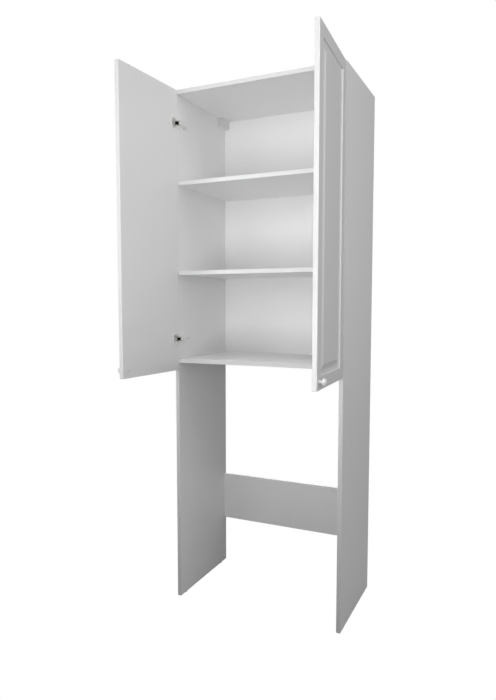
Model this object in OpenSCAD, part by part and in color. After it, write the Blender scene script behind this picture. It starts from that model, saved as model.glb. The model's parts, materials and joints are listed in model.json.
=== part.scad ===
// Over-the-toilet storage rack: two full-height side panels carry a two-door cabinet over an open bay.
// +Z is up, the doors face -Y, and the origin is on the floor under the middle of the whole outline,
// which includes the doors as they stand open.

/* [Overall] */
// Height from the floor to the top of the carcass
rack_h = 2000; // [1650:10:2400]
// Width over both side panels
rack_w = 680; // [560:1:820]
// Depth of the side panels and boards
side_depth = 400; // [320:1:480]
// Clear height from the floor to the underside of the cabinet
bay_h = 957; // [800:1:1150]

/* [Boards] */
// Thickness of the side panels, shelves and brace
board_t = 15; // [12.5:0.5:18]
// Thickness of the back panel
back_t = 3; // [2.5:0.5:4]
// Margin of the back panel inside the carcass outline
back_margin = 1; // [0.5:0.5:3]
// Height of the rear brace
brace_h = 205; // [120:5:300]
// Height of the brace's lower edge above the floor
brace_low = 208; // [120:1:400]
// Play at each end of a loose shelf
shelf_play = 0.5; // [0.3:0.1:1]

/* [Doors] */
// Door thickness
door_t = 16; // [15:0.2:20]
// Gap between a closed door and the carcass front
door_gap = 2.5; // [2:0.1:3]
// How far a closed door laps over the front edge of its side panel
door_overlay = 13.5; // [13:0.1:14]
// Gap between the two closed doors
middle_gap = 3; // [2:0.5:5]
// Gap between a door's top edge and the top of the carcass
door_top_gap = 2; // [0:1:5]
// How far a door hangs below the cabinet's underside
door_hang = 29; // [0:1:40]
// Flat frame of a door's outer face that is left beyond the hinge cups
frame_margin = 4; // [2:0.5:20]
// Width of the slope between the frame and the raised field
slope_w = 31; // [15:1:40]
// Depth of the step at the inner edge of the frame
step_depth = 5; // [3:0.5:6]
// Depth of the raised field below the frame
field_drop = 1; // [0.5:0.5:2]
// How far the doors stand open, measured from closed
open_angle = 93.3; // [80:0.1:94]

/* [Knobs] */
// Knob head diameter
knob_d = 24; // [18:1:30]
// Knob length from the door to its crown
knob_reach = 24; // [18:1:30]
// Knob centre to the door's free edge and to its bottom edge
knob_inset = 26.5; // [20:0.5:40]
// Knob screw diameter
knob_screw_d = 4; // [3.5:0.5:5]

/* [Hinges] */
// Hinge centre to the door's end
hinge_inset = 123; // [90:1:180]
// Cup diameter
cup_d = 35; // [34:1:42]
// Depth of the cup's recess
cup_depth = 12.5; // [11:0.1:13.5]
// Board left between the door's hinge edge and the cup
cup_tab = 3; // [2.5:0.1:3.6]
// Distance between the two screws of a cup
cup_screw_pitch = 42; // [40:1:50]
// Length of the cup's flange beyond each screw
flange_end = 5.5; // [4:0.5:8]
// Offset of those screws from the cup's centre
cup_screw_offset = 11; // [9:0.5:12]
// Distance between the two screws of a hinge plate
plate_screw_pitch = 32; // [27:1:38]
// Length of a hinge plate beyond each screw
plate_end = 10.5; // [5:0.5:14]
// Setback of those screws from the carcass front
plate_setback = 33; // [28:1:37]

/* [Fittings] */
// Cam diameter
cam_d = 15; // [12:1:16]
// Board left under a cam
cam_floor = 2.5; // [1.5:0.5:4]
// Distance from a board's end to its cam's centre
cam_reach = 34; // [24:1:40]
// Distance of a cam from the front and back edges
cam_inset = 55; // [40:1:90]
// Dowel diameter
dowel_d = 8; // [6:1:8]
// Dowel length
dowel_len = 30; // [25:1:40]
// Dowel centre to cam centre
dowel_step = 32; // [24:1:60]
// Shelf pin diameter
pin_d = 5; // [4:0.5:6]
// Distance of a shelf pin from the front and back edges
pin_inset = 50; // [30:1:90]
// Height of a glide
glide_h = 5; // [4:1:8]
// Glide diameter
glide_d = 14; // [10:1:15]
// Distance of a glide from the front and back edges
glide_inset = 48; // [30:1:90]
// Largest distance between two nails of the back panel
nail_pitch = 150; // [100:10:250]

/* [Wall fixing] */
// Width of a wall bracket's back leg, out from the side panel
bracket_w = 18; // [16:1:24]
// Length of a wall bracket's side leg, forward from the back panel
bracket_l = 62; // [50:1:80]
// Height of a wall bracket
bracket_h = 30; // [24:1:36]
// Diameter of the holes for the wall screws
wall_hole_d = 5.5; // [4.5:0.5:6.5]

/* [Hidden] */
$fn = 48;

// Clearances
fit = 0.05;          // round a pin, dowel or screw in its hole
pivot_fit = 0.06;    // round a hinge pin
slack = 0.2;         // between flat pieces that slide past each other
over = 1;            // how far a cutting body runs past the face that it cuts

white = [0.93, 0.93, 0.92];
steel = [0.78, 0.78, 0.8];
zinc = [0.62, 0.62, 0.6];
beech = [0.82, 0.66, 0.46];

// Carcass levels and faces
half_in = rack_w / 2 - board_t;
half_mid = rack_w / 2 - board_t / 2;
top_z = rack_h - board_t / 2;
bottom_z = bay_h + board_t / 2;
clear_h = rack_h - bay_h - 2 * board_t;
space_h = (clear_h - 2 * board_t) / 3;
lower_shelf_z = bay_h + board_t + space_h;
upper_shelf_z = lower_shelf_z + board_t + space_h;
brace_y = side_depth - board_t / 2;
brace_mid = brace_low + brace_h / 2;
back_low = bay_h + back_margin;
back_high = rack_h - back_margin;

// Doors, closed, in the left hinge's own frame: x = 0 on the side panel's inner face, y = 0 on its front
door_w = (rack_w - middle_gap) / 2 - board_t + door_overlay;
door_edge = -door_overlay;
door_low = bay_h - door_hang;
door_h = rack_h - door_top_gap - door_low;
door_face = -door_gap;
frame_w = cup_tab + cup_d + frame_margin;
hinge_levels = [door_low + hinge_inset, door_low + door_h - hinge_inset];

// Linkage, closed. The outer link turns on arm_pin and carries cup_pin. The inner link turns on
// inner_arm_pin, and its far pin runs in a slot of the cup, which gives a closed four-bar its play.
// Both links keep a constant ratio to the door's own turn.
design_angle = 93.3;
cup_pin_depth = 2.9;
inner_pin_floor = 3.1;
arm_pin = [5.2, 0.3];
cup_pin = [-5.6, door_face - cup_pin_depth];
link_turn = 32 * open_angle / design_angle;
inner_arm_pin = [14, -2];
inner_cup_pin = [-6.3, door_face - cup_depth + inner_pin_floor];
inner_turn = -7.4 * open_angle / design_angle;
link_pin_d = 2.5;
function turned(p, a) = [p.x * cos(a) - p.y * sin(a), p.x * sin(a) + p.y * cos(a)];
cup_pin_open = arm_pin + turned(cup_pin - arm_pin, link_turn);
function door_open(p) = cup_pin_open + turned(p - cup_pin, -open_angle);
front_reach = door_open([door_edge + door_w, door_face]).y;
front_y = -(front_reach + side_depth + back_t) / 2;

// ---------- Helpers ----------

// Carcass frame: y = 0 on the front edges of the side panels
module carcass() {
    translate([0, front_y, 0]) children();
}

// The same piece on the right
module right_hand() {
    mirror([1, 0, 0]) children();
}

// Left and right copies
module both_sides() {
    children();
    right_hand() children();
}

// A hinge's own frame on the left: x = 0 on the side panel's inner face, z = 0 at the hinge's middle
module at_hinges() {
    for (z = hinge_levels) carcass() translate([-half_in, 0, z]) children();
}

// The left door's frame, drawn closed and shown as it stands open; z is measured from the floor
module door_frame() {
    carcass() translate([-half_in, 0, 0])
        translate([cup_pin_open.x, cup_pin_open.y, 0]) rotate([0, 0, -open_angle])
            translate([-cup_pin.x, -cup_pin.y, 0]) children();
}

// A cylinder along +X, +Y or -Y that starts at the origin
module along_x(d, l) { rotate([0, 90, 0]) cylinder(d = d, h = l); }
module along_y(d, l) { rotate([-90, 0, 0]) cylinder(d = d, h = l); }

// A cylinder through the origin, square to the drawing plane of the hinge
module across(d, half) { translate([0, 0, -half]) cylinder(d = d, h = 2 * half); }

// ---------- Carcass fittings: places shared by the boards and the hardware ----------

// What is left of the side panel behind each kind of blind hole
bolt_skin = 4;
dowel_skin = 5;
pin_skin = 6;
screw_skin = 3;
bolt_thread_l = board_t - bolt_skin;
bolt_thread_d = 5;
bolt_shaft_d = 6;
bolt_bore_d = 8;
cam_depth = board_t - cam_floor;
cam_rows = [cam_inset, side_depth - cam_inset];
dowel_rows = [cam_inset + dowel_step, side_depth - cam_inset - dowel_step];
brace_dowel_offset = brace_h * 0.3;
dowel_in_side = board_t - dowel_skin;
nail_d = 1.5;
nail_len = 20;
nail_head_d = 3.6;
nail_head_t = 0.8;
glide_rows = [glide_inset, side_depth - glide_inset];
glide_nail_d = 2;
glide_nail_len = 18;
pin_rows = [pin_inset, side_depth - pin_inset];
pin_in_side = board_t - pin_skin;
pin_out = 8;
shelf_levels = [lower_shelf_z, upper_shelf_z];
plate_screw_d = 4;
plate_screw_l = board_t - screw_skin;
plate_h = plate_screw_pitch + 2 * plate_end;
bracket_t = 2;
bracket_top_gap = 3;
bracket_z = rack_h - board_t - bracket_top_gap - bracket_h / 2;
bracket_screw_d = 3.5;
bracket_screw_l = board_t - screw_skin;
bracket_front_screw = 12;
bracket_back_screw = 22;
bracket_screw_rows = [side_depth - bracket_l + bracket_front_screw, side_depth - bracket_back_screw];
wall_hole_out = 10.8;
wall_hole_x = half_in - wall_hole_out;

// The left side's fittings at each joint, in the carcass frame at the side's inner face: [y, z] pairs
bolt_places = concat([for (z = [bottom_z, top_z]) for (y = cam_rows) [y, z]], [[brace_y, brace_mid]]);
dowel_places = concat([for (z = [bottom_z, top_z]) for (y = dowel_rows) [y, z]],
                      [for (k = [-1, 1]) [brace_y, brace_mid + k * brace_dowel_offset]]);
pin_places = [for (z = shelf_levels) for (y = pin_rows) [y, z + pin_d / 2]];
plate_screw_places = [for (z = hinge_levels) for (k = [-1, 1])
    [plate_setback, z + k * plate_screw_pitch / 2]];
bracket_screw_places = [for (y = bracket_screw_rows) [y, bracket_z]];

// Equal steps from one end to the other, none longer than the pitch
function spread(low, high, pitch) =
    let (n = ceil((high - low) / pitch)) [for (i = [0:n]) low + i * (high - low) / n];
nail_margin = 30;
side_nail_levels = spread(back_low + nail_margin, back_high - nail_margin, nail_pitch);
board_nail_places = spread(-half_in + nail_margin, half_in - nail_margin, nail_pitch);

module at_left_places(places) {
    for (p = places) carcass() translate([-half_in, p.x, p.y]) children();
}

// ---------- Boards ----------

module side_panel_shape() {
    hole_over = bolt_thread_l + over;
    difference() {
        carcass() translate([-rack_w / 2, 0, glide_h]) cube([board_t, side_depth, rack_h - glide_h]);
        at_left_places(bolt_places) translate([-bolt_thread_l, 0, 0])
            along_x(bolt_thread_d + 2 * fit, hole_over);
        at_left_places(dowel_places) translate([-dowel_in_side, 0, 0])
            along_x(dowel_d + 2 * fit, dowel_in_side + over);
        at_left_places(pin_places) translate([-pin_in_side, 0, 0])
            along_x(pin_d + 2 * fit, pin_in_side + over);
        at_left_places(plate_screw_places) translate([-plate_screw_l, 0, 0])
            along_x(plate_screw_d + 2 * fit, plate_screw_l + over);
        at_left_places(bracket_screw_places) translate([-bracket_screw_l, 0, 0])
            along_x(bracket_screw_d + 2 * fit, bracket_screw_l + over);
        for (z = side_nail_levels) carcass()
            translate([-half_mid, side_depth - (nail_len - back_t), z])
                along_y(nail_d + 2 * fit, nail_len + over);
        for (y = glide_rows) carcass() translate([-half_mid, y, 0])
            cylinder(d = glide_nail_d + 2 * fit, h = glide_nail_len + glide_h);
    }
}
module left_side_panel() color(white) side_panel_shape();
module right_side_panel() color(white) right_hand() side_panel_shape();

// A board between the sides, with cams let in from above (up = 1) or from below (up = -1)
module fixed_board(mid_z, up) {
    difference() {
        carcass() translate([-half_in, 0, mid_z - board_t / 2]) cube([2 * half_in, side_depth, board_t]);
        both_sides() {
            for (y = cam_rows) carcass() translate([-half_in, y, mid_z]) {
                translate([-over, 0, 0]) along_x(bolt_bore_d, cam_reach + over);
                translate([cam_reach, 0, 0]) cam_pocket(up);
            }
            for (y = dowel_rows) carcass() translate([-half_in - over, y, mid_z])
                along_x(dowel_d + 2 * fit, dowel_len - dowel_in_side + 2 * over);
        }
        for (x = board_nail_places) carcass()
            translate([x, side_depth - (nail_len - back_t), mid_z])
                along_y(nail_d + 2 * fit, nail_len + over);
    }
}
module cam_pocket(up) {
    face = board_t / 2;
    translate([0, 0, up > 0 ? face - cam_depth : -face - over])
        cylinder(d = cam_d + 2 * fit, h = cam_depth + over);
}
module top_panel() color(white) fixed_board(top_z, 1);
module bottom_panel() color(white) fixed_board(bottom_z, -1);

// A loose shelf: four grooves in its underside take the pins, so that no pin shows from the front
module shelf(z) {
    w = 2 * (half_in - shelf_play);
    difference() {
        carcass() translate([-w / 2, 0, z]) cube([w, side_depth - shelf_play, board_t]);
        both_sides() for (y = pin_rows) carcass()
            translate([-w / 2 - over, y - pin_d / 2 - slack, z - over])
                cube([pin_out + over + slack, pin_d + 2 * slack, pin_d + over]);
    }
}
module upper_shelf() color(white) shelf(upper_shelf_z);
module lower_shelf() color(white) shelf(lower_shelf_z);

module rear_brace() color(white) difference() {
    carcass() translate([-half_in, side_depth - board_t, brace_low]) cube([2 * half_in, board_t, brace_h]);
    both_sides() carcass() {
        translate([-half_in, brace_y, brace_mid]) {
            translate([-over, 0, 0]) along_x(bolt_bore_d, cam_reach + over);
            translate([cam_reach, 0, 0]) rotate([-90, 0, 0]) cam_pocket(1);
        }
        for (k = [-1, 1]) translate([-half_in - over, brace_y, brace_mid + k * brace_dowel_offset])
            along_x(dowel_d + 2 * fit, dowel_len - dowel_in_side + 2 * over);
    }
}

// All nails of the back panel, in the carcass frame: [x, z] pairs
nail_places = concat(
    [for (k = [-1, 1]) for (z = side_nail_levels) [k * half_mid, z]],
    [for (z = [bottom_z, top_z]) for (x = board_nail_places) [x, z]]);

module back_panel() color(white) difference() {
    carcass() translate([-rack_w / 2 + back_margin, side_depth, back_low])
        cube([rack_w - 2 * back_margin, back_t, back_high - back_low]);
    for (p = nail_places) carcass() translate([p.x, side_depth, p.y]) {
        translate([0, -over, 0]) along_y(nail_d + 2 * fit, back_t + 2 * over);
        translate([0, back_t - nail_head_t, 0]) along_y(nail_head_d + 2 * fit, nail_head_t + over);
    }
    for (k = [-1, 1]) carcass() translate([k * wall_hole_x, side_depth - over, bracket_z])
        along_y(wall_hole_d, back_t + 2 * over);
}

// ---------- Knock-down fittings ----------

module shelf_pins() color(steel) both_sides() at_left_places(pin_places)
    translate([-pin_in_side, 0, 0]) along_x(pin_d, pin_in_side + pin_out);

// A cam, drawn about its own axis with its face up; the bolt comes in along -X
module cam() {
    slot_w = 2.5;
    slot_depth = 2;
    slot_l = cam_d * 2 / 3;
    difference() {
        cylinder(d = cam_d, h = cam_depth);
        translate([-cam_d, 0, cam_depth - board_t / 2]) along_x(bolt_bore_d, cam_d + bolt_bore_d / 2);
        for (a = [0, 90]) rotate([0, 0, a]) translate([-slot_l / 2, -slot_w / 2, cam_depth - slot_depth])
            cube([slot_l, slot_w, slot_depth + over]);
    }
}
module cam_locks() color(zinc) both_sides() carcass() {
    for (y = cam_rows) {
        translate([-half_in + cam_reach, y, rack_h - cam_depth]) cam();
        translate([-half_in + cam_reach, y, bay_h + cam_depth]) mirror([0, 0, 1]) cam();
    }
    translate([-half_in + cam_reach, side_depth - cam_depth, brace_mid]) rotate([-90, 0, 0]) cam();
}

// A cam bolt: thread in the side, collar against its face, shaft and head in the board
module cam_bolts() color(steel) both_sides() at_left_places(bolt_places) {
    neck_d = 4;
    neck_l = 3;
    head_l = 3;
    translate([-bolt_thread_l, 0, 0]) along_x(bolt_thread_d, bolt_thread_l);
    along_x(bolt_shaft_d, cam_reach - head_l - neck_l);
    along_x(neck_d, cam_reach);
    translate([cam_reach - head_l / 2, 0, 0]) along_x(bolt_shaft_d, head_l);
}

module dowels() color(beech) both_sides() at_left_places(dowel_places) {
    bevel = 1;
    translate([-dowel_in_side, 0, 0]) rotate([0, 90, 0]) rotate_extrude()
        polygon([[0, 0], [dowel_d / 2 - bevel, 0], [dowel_d / 2, bevel], [dowel_d / 2, dowel_len - bevel],
                 [dowel_d / 2 - bevel, dowel_len], [0, dowel_len]]);
}

module back_panel_nails() color(steel) for (p = nail_places) carcass() translate([p.x, side_depth, p.y]) {
    translate([0, back_t - nail_len, 0]) along_y(nail_d, nail_len);
    translate([0, back_t - nail_head_t, 0]) along_y(nail_head_d, nail_head_t);
}

// ---------- Glides ----------

glide_recess_d = 6;
glide_recess = 2.5;
glide_head_t = 1;

module glides() color(white) both_sides() for (y = glide_rows) carcass() translate([-half_mid, y, 0])
    rotate_extrude() {
        bevel = glide_h / 4;
        polygon([[glide_recess_d / 2, 0], [glide_d / 2 - bevel, 0],
                 [glide_d / 2, bevel], [glide_d / 2, glide_h],
                 [glide_nail_d / 2 + fit, glide_h], [glide_nail_d / 2 + fit, glide_recess],
                 [glide_recess_d / 2, glide_recess]]);
    }
module glide_nails() color(steel) both_sides() for (y = glide_rows) carcass() translate([-half_mid, y, 0]) {
    translate([0, 0, glide_recess - glide_head_t]) cylinder(d = glide_recess_d - 1, h = glide_head_t);
    translate([0, 0, glide_recess - glide_head_t])
        cylinder(d = glide_nail_d, h = glide_h + glide_nail_len - glide_recess + glide_head_t - over);
}

// ---------- Wall fixing ----------

// A steel angle: one leg on the side panel, one on the back panel, drawn at the left
module wall_brackets() color(steel) both_sides() carcass() translate([-half_in, 0, bracket_z - bracket_h / 2])
    difference() {
        union() {
            translate([0, side_depth - bracket_l, 0]) cube([bracket_t, bracket_l, bracket_h]);
            translate([0, side_depth - bracket_t, 0]) cube([bracket_w, bracket_t, bracket_h]);
        }
        for (y = bracket_screw_rows) translate([-over, y, bracket_h / 2])
            along_x(bracket_screw_d + 2 * fit, bracket_t + 2 * over);
        translate([half_in - wall_hole_x, side_depth - bracket_t - over, bracket_h / 2])
            along_y(wall_hole_d, bracket_t + 2 * over);
    }

bracket_head_d = 7;
bracket_head_t = 1.6;
module bracket_screws() color(steel) both_sides() at_left_places(bracket_screw_places) {
    translate([-bracket_screw_l, 0, 0]) along_x(bracket_screw_d, bracket_screw_l + bracket_t);
    translate([bracket_t, 0, 0]) along_x(bracket_head_d, bracket_head_t);
}

// A moulded cover over each bracket: closed in front by a web, and open at the back, where the wall screw is
cover_wall = 1.5;
cover_recess = 1;
cover_play = 0.3;
cover_front = 8;
cover_side = 3;
cover_tab_h = 4;
cover_low = bracket_z - bracket_h / 2 - cover_play - cover_wall;
module bracket_covers() color(white) both_sides() carcass()
    translate([-half_in, side_depth - bracket_l - cover_front, cover_low]) {
        outer_h = bracket_h + 2 * (cover_play + cover_wall);
        outer_l = bracket_l + cover_front - bracket_t - cover_play;
        outer_w = bracket_w + cover_side;
        difference() {
            cube([outer_w, outer_l, outer_h]);
            translate([-over, cover_recess + cover_wall, cover_wall])
                cube([outer_w - cover_wall + over, outer_l, outer_h - 2 * cover_wall]);
            translate([-over, -over, cover_wall])
                cube([outer_w - cover_wall + over, cover_recess + over, outer_h - 2 * cover_wall]);
        }
        translate([0, 0, -cover_tab_h]) cube([outer_w * 0.6, cover_wall, cover_tab_h]);
    }

// ---------- Hinges: pieces that stay on the carcass ----------

arm_half = 6;            // half width of the arm's channel
arm_sheet = 1.4;         // steel of the arm, and of the cup's ears beside it
arm_low = 2.6;
arm_tail = 62;
arm_shoulder = 16;       // where the back of the arm starts to slope down
arm_step = 44;           // where it turns to a gentler slope
arm_step_x = 13;
arm_tail_x = 10.5;
nose_r = 2.6;
arm_back_x = inner_arm_pin.x + nose_r;
nose_open = [12, 12];
tail_open = [9, 4];
wing_t = 2;
wing_w = 15;
foot_half = arm_half + 2;
rib_half = 4.2;
rib_top = 8;
rib_rows = [18, 58];
arm_screw_rows = [27, 52];
arm_screw_d = 5;
arm_screw_head_d = 7;

// Side view of an arm, [x, y] in the hinge's frame: the nose carries both pins, the back slopes to the tail
module arm_outline() {
    translate(arm_pin) circle(r = nose_r);
    translate(inner_arm_pin) circle(r = nose_r);
    polygon([[arm_pin.x - nose_r, arm_pin.y], [arm_low, arm_tail],
             [arm_tail_x, arm_tail], [arm_step_x, arm_step],
             [arm_back_x, arm_shoulder], [arm_back_x, inner_arm_pin.y],
             [inner_arm_pin.x, inner_arm_pin.y - nose_r], [arm_pin.x, arm_pin.y - nose_r]]);
}
module arm_body() {
    difference() {
        translate([0, 0, -arm_half]) linear_extrude(2 * arm_half) arm_outline();
        translate([-arm_sheet, 0, -arm_half + arm_sheet])
            linear_extrude(2 * (arm_half - arm_sheet)) arm_outline();
        // The channel is open at its nose, where the outer link swings, and at its tail
        translate([0, inner_arm_pin.y - nose_r - over, -arm_half + arm_sheet])
            cube([nose_open.x, nose_open.y, 2 * (arm_half - arm_sheet)]);
        translate([0, arm_tail - tail_open.y, -arm_half + arm_sheet])
            cube([tail_open.x, tail_open.y + over, 2 * (arm_half - arm_sheet)]);
        for (p = [arm_pin, inner_arm_pin]) translate(p) across(link_pin_d + 2 * fit, arm_half + over);
        for (y = arm_screw_rows) translate([0, y, 0]) along_x(arm_screw_d + 2 * fit, arm_back_x + over);
    }
}
module hinge_arms() color(steel) both_sides() at_hinges() arm_body();

module hinge_plates() color(steel) both_sides() at_hinges() difference() {
    union() {
        translate([0, plate_setback - wing_w / 2, -plate_h / 2]) cube([wing_t, wing_w, plate_h]);
        translate([0, rib_rows[0], -foot_half]) cube([wing_t, rib_rows[1] - rib_rows[0], 2 * foot_half]);
        translate([0, rib_rows[0], -rib_half]) cube([rib_top, rib_rows[1] - rib_rows[0], 2 * rib_half]);
    }
    for (k = [-1, 1]) translate([-over, plate_setback, k * plate_screw_pitch / 2])
        along_x(plate_screw_d + 2 * fit, wing_t + 2 * over);
    for (y = arm_screw_rows) translate([arm_low, y, 0]) along_x(arm_screw_d + 2 * fit, rib_top);
}

plate_head_d = 7.5;
plate_head_t = 1.8;
module hinge_plate_screws() color(steel) both_sides() at_left_places(plate_screw_places) {
    translate([-plate_screw_l, 0, 0]) along_x(plate_screw_d, plate_screw_l + wing_t);
    translate([wing_t, 0, 0]) cross_head(plate_head_d, plate_head_t);
}

// A flat screw head along +X with a cross recess
module cross_head(d, t) {
    recess_w = d / 7;
    difference() {
        along_x(d, t);
        for (a = [0, 90]) rotate([a, 0, 0])
            translate([t / 2, -d / 3, -recess_w / 2]) cube([t, d * 2 / 3, recess_w]);
    }
}

// Height of an arm's back above the side panel at each screw
function arm_back(y) = y > arm_step
    ? arm_step_x - (y - arm_step) * (arm_step_x - arm_tail_x) / (arm_tail - arm_step)
    : arm_back_x - (y - arm_shoulder) * (arm_back_x - arm_step_x) / (arm_step - arm_shoulder);
arm_screw_end = 3;
arm_head_lift = 0.6;
arm_head_t = 1.6;
module hinge_arm_screws() color(steel) both_sides() at_hinges() for (y = arm_screw_rows) {
    translate([arm_screw_end, y, 0]) along_x(arm_screw_d, arm_back(y) - arm_screw_end + arm_head_t / 2);
    translate([arm_back(y) + arm_head_lift, y, 0]) cross_head(arm_screw_head_d, arm_head_t);
}

inner_low = 6.2;         // inner link plates lie outside the arm's cheeks and the cup's ears
inner_high = 7.2;
rivet_head_d = 4;
rivet_head_t = 0.6;
module pivot_pin() {
    across(link_pin_d, arm_half);
}
module hinge_arm_pins() color(zinc) both_sides() at_hinges() {
    rivet_l = inner_high - arm_half + arm_sheet + slack;
    translate(arm_pin) pivot_pin();
    for (k = [0, 1]) mirror([0, 0, k]) translate([inner_arm_pin.x, inner_arm_pin.y, arm_half - arm_sheet]) {
        cylinder(d = link_pin_d, h = rivet_l);
        translate([0, 0, rivet_l - slack / 2]) cylinder(d = rivet_head_d, h = rivet_head_t);
    }
}

// ---------- Hinges: links, drawn closed and turned to where they stand with the doors open ----------

link_half_w = 1.2;
link_end_r = 1.9;
outer_half = 4.3;
outer_bend = 5;
inner_elbow_closed = [5.1, -10.9];

module turned_about(pin, angle) {
    translate(pin) rotate([0, 0, angle]) translate(-pin) children();
}
module bar(a, b, half_w) {
    len_ab = norm(b - a);
    translate(a) rotate([0, 0, atan2(b.y - a.y, b.x - a.x)])
        translate([0, -half_w]) square([len_ab, 2 * half_w]);
}
// A bent bar with an eye at each end
module link_outline(a, elbow, b) {
    bar(a, elbow, link_half_w);
    bar(elbow, b, link_half_w);
    translate(elbow) circle(r = link_half_w);
    translate(a) circle(r = link_end_r);
    translate(b) circle(r = link_end_r);
}
outer_elbow = let (d = (cup_pin - arm_pin) / norm(cup_pin - arm_pin))
    (arm_pin + cup_pin) / 2 + outer_bend * [-d.y, d.x] * (d.x < 0 ? 1 : -1);

module outer_link_shape() at_hinges() turned_about(arm_pin, link_turn) difference() {
    translate([0, 0, -outer_half]) linear_extrude(2 * outer_half) link_outline(arm_pin, outer_elbow, cup_pin);
    for (p = [arm_pin, cup_pin]) translate(p) across(link_pin_d + 2 * pivot_fit, outer_half + over);
}
module left_outer_links() color(zinc) outer_link_shape();
module right_outer_links() color(zinc) right_hand() outer_link_shape();

// The inner link is a pair of plates, one on each side, each with its own stub pin into the cup's slot
module inner_link_shape() at_hinges() turned_about(inner_arm_pin, inner_turn) for (k = [0, 1])
    mirror([0, 0, k]) {
        difference() {
            translate([0, 0, inner_low]) linear_extrude(inner_high - inner_low)
                link_outline(inner_arm_pin, inner_elbow_closed, inner_cup_pin);
            translate(inner_arm_pin) across(link_pin_d + 2 * pivot_fit, inner_high + over);
        }
        translate([inner_cup_pin.x, inner_cup_pin.y, arm_half - arm_sheet + slack])
            cylinder(d = link_pin_d, h = inner_high - arm_half + arm_sheet - slack);
    }
module left_inner_links() color(zinc) inner_link_shape();
module right_inner_links() color(zinc) right_hand() inner_link_shape();

// ---------- Doors and what they carry, drawn closed in the left hinge's frame ----------

cup_x = door_edge + cup_tab + cup_d / 2;
flange_h = cup_screw_pitch + 2 * flange_end;
cup_wall = 0.8;
cup_fit = 0.05;
flange_t = 1.2;
flange_w = 14;
rim_over = 1.5;
window_w = 6;
ear_heel = 1;
ear_r = 2.1;
pin_half = [link_pin_d / 2, link_pin_d / 2];
slot_play = [0.5, 0.2];
slot_travel = [0.25, 2.5];

module at_door_hinges() {
    for (z = hinge_levels) door_frame() translate([0, 0, z]) children();
}

module pins_in_cup() at_door_hinges() translate(cup_pin) pivot_pin();
module left_cup_pins() color(zinc) pins_in_cup();
module right_cup_pins() color(zinc) right_hand() pins_in_cup();

// A pressed cup with a flange on the door's face and two ears inside for the links
module cup_shape() at_door_hinges() {
    floor_y = door_face - cup_depth + cup_fit;
    ear_right = cup_pin.x + ear_r + ear_heel;
    inner_cup_d = cup_d - 2 * (cup_fit + cup_wall);
    difference() {
        union() {
            difference() {
                translate([cup_x, floor_y, 0]) along_y(cup_d - 2 * cup_fit, cup_depth - cup_fit);
                translate([cup_x, floor_y + cup_wall, 0]) along_y(inner_cup_d, cup_depth);
            }
            difference() {
                translate([cup_x + cup_screw_offset - flange_w / 2, door_face, -flange_h / 2])
                    cube([flange_w, flange_t, flange_h]);
                translate([cup_x, door_face - over, 0]) along_y(inner_cup_d, cup_depth);
            }
            difference() {
                translate([cup_x, door_face, 0]) along_y(cup_d + 2 * rim_over, flange_t);
                translate([cup_x, door_face - over, 0]) along_y(inner_cup_d, cup_depth);
                // The rim stops short of the door's hinge edge
                translate([cup_x - cup_d, door_face - over, -cup_d])
                    cube([cup_d / 2 + 2 * rim_over, cup_depth, 2 * cup_d]);
            }
            intersection() {
                translate([cup_x, floor_y, 0]) along_y(cup_d - 2 * cup_fit, cup_depth - cup_fit);
                for (k = [0, 1]) mirror([0, 0, k]) translate([0, 0, arm_half - arm_sheet + slack / 2])
                    linear_extrude(arm_sheet - slack) {
                        translate(cup_pin) circle(r = ear_r);
                        translate([cup_x - cup_d / 2, floor_y])
                            square([ear_right - cup_x + cup_d / 2, cup_pin.y - floor_y]);
                    }
            }
        }
        translate(cup_pin) across(link_pin_d + 2 * pivot_fit, arm_half + over);
        // Windows in the cup's wall, beside the ears, give the inner link's ends their room
        for (k = [0, 1]) mirror([0, 0, k])
            translate([cup_x - cup_d / 2, floor_y + cup_wall, arm_half])
                cube([window_w, cup_depth + flange_t, inner_high - arm_half + 2 * slack]);
        for (k = [0, 1]) mirror([0, 0, k]) translate([0, 0, arm_half - arm_sheet - slack])
            linear_extrude(arm_sheet + 2 * slack)
                translate(inner_cup_pin - pin_half - slot_play)
                    square(2 * (pin_half + slot_play) + slot_travel);
        for (k = [-1, 1]) translate([cup_x + cup_screw_offset, door_face - over, k * cup_screw_pitch / 2])
            along_y(cup_screw_d + 2 * fit, flange_t + 2 * over);
    }
}
module left_hinge_cups() color(steel) cup_shape();
module right_hinge_cups() color(steel) right_hand() cup_shape();

cup_screw_d = 3.5;
cup_screw_l = 11;
cup_screw_head_d = 7;
cup_screw_head_t = 1;
module cup_screw_shape() at_door_hinges() for (k = [-1, 1])
    translate([cup_x + cup_screw_offset, door_face, k * cup_screw_pitch / 2]) {
        translate([0, -cup_screw_l, 0]) along_y(cup_screw_d, cup_screw_l + flange_t);
        translate([0, flange_t, 0]) rotate([0, 0, 90]) cross_head(cup_screw_head_d, cup_screw_head_t);
    }
module left_cup_screws() color(steel) cup_screw_shape();
module right_cup_screws() color(steel) right_hand() cup_screw_shape();

knob_x = door_edge + door_w - knob_inset;
knob_z = door_low + knob_inset;
knob_thread_l = 12;
knob_screw_short = 2;    // room left ahead of the screw's point

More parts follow.
